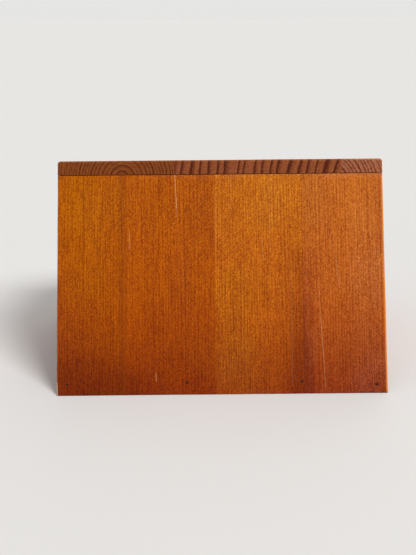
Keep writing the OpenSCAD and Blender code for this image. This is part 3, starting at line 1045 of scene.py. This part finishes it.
# %% A tree for brads and screws
def fastener_group(name, sizes, head_shape, shank_shape):
    """Sets a head and a shank at each point, along its way, turned by a random amount."""
    tree, given = node_group(name, sizes)
    under = maths(tree, "MULTIPLY", given["Head Height"], -1.0)
    tip = maths(tree, "MULTIPLY", given["Length"], -1.0)
    head = turned(tree, under, 0.0, given["Head Radius"], 14, head_shape)
    if "Slot Width" in sizes:
        across = maths(tree, "MULTIPLY", given["Head Radius"], 2.5)
        deep = maths(tree, "MULTIPLY", given["Slot Depth"], 2.0)
        slot = node(tree, "GeometryNodeMeshCube", None,
                    Size=xyz(tree, across, given["Slot Width"], deep)).outputs[0]
        head = without(tree, head, slot)
    middle = maths(tree, "MULTIPLY", given["Head Height"], -0.5)
    shank = turned(tree, tip, middle, given["Shank Radius"], 12, shank_shape)
    both = node(tree, "GeometryNodeJoinGeometry")
    tree.links.new(shank, both.inputs[0])
    tree.links.new(head, both.inputs[0])
    way = node(tree, "GeometryNodeInputNamedAttribute", {"data_type": "FLOAT_VECTOR"}, Name="way")
    aim = node(tree, "FunctionNodeAlignRotationToVector", {"axis": "Z"}, Vector=way.outputs["Attribute"])
    turn = node(tree, "FunctionNodeRandomValue", {"data_type": "FLOAT"},
                i2=0.0, i3=math.tau, i8=given["Seed"])
    spin = node(tree, "FunctionNodeEulerToRotation", None, i0=xyz(tree, z=turn.outputs[1]))
    final = node(tree, "FunctionNodeRotateRotation", {"rotation_space": "LOCAL"},
                 i0=aim.outputs[0], i1=spin.outputs[0])
    placed = node(tree, "GeometryNodeInstanceOnPoints", None, Points=given["Geometry"],
                  Instance=both.outputs[0], Rotation=final.outputs[0])
    finish_group(tree, placed.outputs[0], given)
    return tree


# %% Brads and screws
BRAD_SIZES = {
    "Head Radius": BRAD_HEAD, "Head Height": BRAD_HEAD_T, "Shank Radius": 0.6 * MM,
    "Length": 16.6 * MM, "Seed": 3, "Material": brad_steel,
}
SCREW_SIZES = {
    "Head Radius": 1.3 * MM, "Head Height": LEAF_T, "Shank Radius": 0.6 * MM,
    "Length": 8 * MM, "Slot Width": 0.4 * MM, "Slot Depth": 0.3 * MM, "Seed": 7,
    "Material": screw_brass,
}
BRAD_HEAD_SHAPE = [(0, 0.9), (0.25, 1.0), (0.75, 0.97), (1, 0.8)]
BRAD_SHANK_SHAPE = [(0, 0.1), (0.15, 1.0), (1, 1.0)]
SCREW_HEAD_SHAPE = [(0, 0.46), (0.85, 0.97), (0.94, 1.0), (1, 0.94)]
SCREW_SHANK_SHAPE = [(0, 0.1), (0.3, 0.75), (1, 1.0)]
brad_tree = fastener_group("brads", BRAD_SIZES, BRAD_HEAD_SHAPE, BRAD_SHANK_SHAPE)
screw_tree = fastener_group("screws", SCREW_SIZES, SCREW_HEAD_SHAPE, SCREW_SHANK_SHAPE)
for label, places in brad_places.items():
    heads = [start + into * BRAD_SET for start, into in places]
    ways = [-into for start, into in places]
    made = grown(label + "_brad_steel", brad_tree, BRAD_SIZES, heads, ways)
    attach(made, "box")
    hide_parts(label + "_brads")

# %% [markdown]
# A butt hinge is two stamped leaves, whose rolled knuckles share a pin. Modelling the two
# leaves apart would double the work, though they differ only in how many knuckles they have.
# So one tree makes both from a plate with two countersunk holes and a run of knuckles, and
# the second leaf is the first turned over.

# %% Sizes of a hinge leaf
LEAF_START = 1.7 * MM  # the plate stops here, clear of the other leaf's knuckles
SCREW_X = 7.6 * MM
SCREW_BACK = 4.4 * MM
PITCH = LEAF_LEN / 5
LEAF_SIZES = {
    "Length": LEAF_LEN, "Width": LEAF_W, "Thickness": LEAF_T, "Face": LEAF_GAP / 2,
    "Start": LEAF_START, "Barrel Radius": 1.5 * MM, "Bore Radius": 0.75 * MM,
    "Knuckle Length": PITCH - 0.2 * MM, "Pitch": PITCH, "Knuckles": 3,
    "Screw X": SCREW_X, "Screw Back": SCREW_BACK, "Sink Radius": 1.35 * MM,
    "Hole Radius": 0.65 * MM, "Material": hinge_brass,
}
RING_STEPS = 40        # round a knuckle
HOLE_STEPS = 28        # round a screw hole
KNUCKLE_SOFT = 0.12 * MM
LEAF_SOFT = 0.08 * MM
print("a leaf is", round(LEAF_LEN / MM), "x", round(LEAF_W / MM, 1), "mm")


# %% Moving and repeating shapes
def moved(tree, shape, place=None, turn=(0, 0, 0)):
    inputs = {"Geometry": shape, "Rotation": turn}
    if place is not None:
        inputs["Translation"] = place
    return node(tree, "GeometryNodeTransform", None, **inputs).outputs[0]


def block(tree, size, place):
    return moved(tree, node(tree, "GeometryNodeMeshCube", None, Size=size).outputs[0], place)


def run_of(tree, count, step, shape):
    """Copies of a shape along X, centred on the middle of the run."""
    gaps = maths(tree, "SUBTRACT", count, 1.0)
    first = maths(tree, "MULTIPLY", maths(tree, "MULTIPLY", gaps, step), -0.5)
    line = node(tree, "GeometryNodeMeshLine", None, Count=count, Offset=xyz(tree, step),
                **{"Start Location": xyz(tree, first)})
    placed = node(tree, "GeometryNodeInstanceOnPoints", None, Points=line.outputs[0], Instance=shape)
    return node(tree, "GeometryNodeRealizeInstances", None, Geometry=placed.outputs[0]).outputs[0]


print("shape helpers:", moved.__name__, block.__name__, run_of.__name__)


# %% A tree for the leaves
def leaf_group():
    """A plate with two countersunk holes, and knuckles with a strip that carries each."""
    tree, given = node_group("hinge leaf", LEAF_SIZES)
    half_t = maths(tree, "MULTIPLY", given["Thickness"], 0.5)
    mid_z = maths(tree, "ADD", given["Face"], half_t)
    deep = maths(tree, "SUBTRACT", given["Width"], given["Start"])
    mid_y = maths(tree, "MULTIPLY", maths(tree, "ADD", given["Width"], given["Start"]), -0.5)
    plate_size = xyz(tree, given["Length"], deep, given["Thickness"])
    plate = block(tree, plate_size, xyz(tree, 0.0, mid_y, mid_z))
    sink = node(tree, "GeometryNodeMeshCone", None, Vertices=HOLE_STEPS, Depth=given["Thickness"],
                **{"Radius Top": given["Hole Radius"], "Radius Bottom": given["Sink Radius"]}).outputs[0]
    drill = node(tree, "GeometryNodeMeshCylinder", None, Vertices=HOLE_STEPS, Radius=given["Hole Radius"],
                 Depth=maths(tree, "MULTIPLY", given["Thickness"], 4.0)).outputs[0]
    hole_y = maths(tree, "MULTIPLY", given["Screw Back"], -1.0)
    for cutter in (sink, drill):
        pair = run_of(tree, 2, maths(tree, "MULTIPLY", given["Screw X"], 2.0), cutter)
        pair = moved(tree, pair, xyz(tree, 0.0, hole_y, given["Face"]))
        plate = without(tree, plate, pair)

    wall = maths(tree, "SUBTRACT", given["Barrel Radius"], given["Bore Radius"])
    mid_r = maths(tree, "MULTIPLY", maths(tree, "ADD", given["Barrel Radius"], given["Bore Radius"]), 0.5)
    path = node(tree, "GeometryNodeCurvePrimitiveCircle", {"mode": "RADIUS"},
                Resolution=RING_STEPS, Radius=mid_r)
    section = node(tree, "GeometryNodeCurvePrimitiveQuadrilateral", {"mode": "RECTANGLE"},
                   Width=wall, Height=given["Knuckle Length"])
    soft = node(tree, "GeometryNodeFilletCurve", {"mode": "POLY"}, Curve=section.outputs[0], Count=2,
                Radius=KNUCKLE_SOFT)
    tube = node(tree, "GeometryNodeCurveToMesh", None, Curve=path.outputs[0],
                **{"Profile Curve": soft.outputs[0]}).outputs[0]
    tube = moved(tree, tube, None, (0, math.pi / 2, 0))
    strip_len = maths(tree, "SUBTRACT", given["Start"], mid_r)
    strip_y = maths(tree, "MULTIPLY", maths(tree, "ADD", given["Start"], mid_r), -0.5)
    narrow = maths(tree, "MULTIPLY", given["Knuckle Length"], 0.99)
    strip = block(tree, xyz(tree, narrow, strip_len, given["Thickness"]), xyz(tree, 0.0, strip_y, mid_z))
    knuckle = node(tree, "GeometryNodeJoinGeometry")
    tree.links.new(strip, knuckle.inputs[0])
    tree.links.new(tube, knuckle.inputs[0])
    step = maths(tree, "MULTIPLY", given["Pitch"], 2.0)
    whole = node(tree, "GeometryNodeJoinGeometry")
    tree.links.new(run_of(tree, given["Knuckles"], step, knuckle.outputs[0]), whole.inputs[0])
    tree.links.new(plate, whole.inputs[0])
    finish_group(tree, whole.outputs[0], given)
    return tree


leaf_tree = leaf_group()
print("leaf tree:", len(leaf_tree.nodes), "nodes")

# %% A tree for the pins
PIN_SHAPE = [(0, 0.55), (0.02, 1.0), (0.98, 1.0), (1, 0.55)]
PIN_STEPS = 60
PIN_SIZES = {"Radius": 0.7 * MM, "Length": LEAF_LEN, "Material": hinge_brass}
pin_tree, pin_given = node_group("hinge pin", PIN_SIZES)
pin_end = maths(pin_tree, "MULTIPLY", pin_given["Length"], 0.5)
pin_start = maths(pin_tree, "MULTIPLY", pin_end, -1.0)
pin_shape = turned(pin_tree, pin_start, pin_end, pin_given["Radius"], PIN_STEPS, PIN_SHAPE)
finish_group(pin_tree, moved(pin_tree, pin_shape, None, (0, math.pi / 2, 0)), pin_given)
print("pin tree:", len(pin_tree.nodes), "nodes")


# %% The two hinges
LID_SCREW_LEN = 4.6 * MM


def hinge_piece(made, place, body, node_name):
    made.data.transform(place)
    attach(made, body)
    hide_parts(node_name)


for label in ("left", "right"):
    home = hinge_frame(label)
    prefix = label + "_hinge_"
    for part, body, knuckles, turn in (("lid", "lid", 2, 0.0), ("box", "box", 3, math.pi)):
        place = home @ Matrix.Rotation(turn, 4, "Y")
        sizes = dict(LEAF_SIZES, Knuckles=knuckles)
        leaf = grown(prefix + part + "_leaf_brass", leaf_tree, sizes, [(0, 0, 0)], None, LEAF_SOFT)
        hinge_piece(leaf, place, body, prefix + part + "_leaf")
        length = LID_SCREW_LEN if part == "lid" else SCREW_SIZES["Length"]
        sizes = dict(SCREW_SIZES, Length=length, Seed=SCREW_SIZES["Seed"] + len(prefix) + knuckles)
        heads = [Vector((x, -SCREW_BACK, LEAF_GAP / 2)) for x in (-SCREW_X, SCREW_X)]
        ways = [Vector((0, 0, -1))] * len(heads)
        screws = grown(prefix + part + "_screw_brass", screw_tree, sizes, heads, ways)
        hinge_piece(screws, place, body, prefix + part + "_screws")
    pin = grown(prefix + "pin_brass", pin_tree, PIN_SIZES, [(0, 0, 0)])
    hinge_piece(pin, home, "box", prefix + "pin")
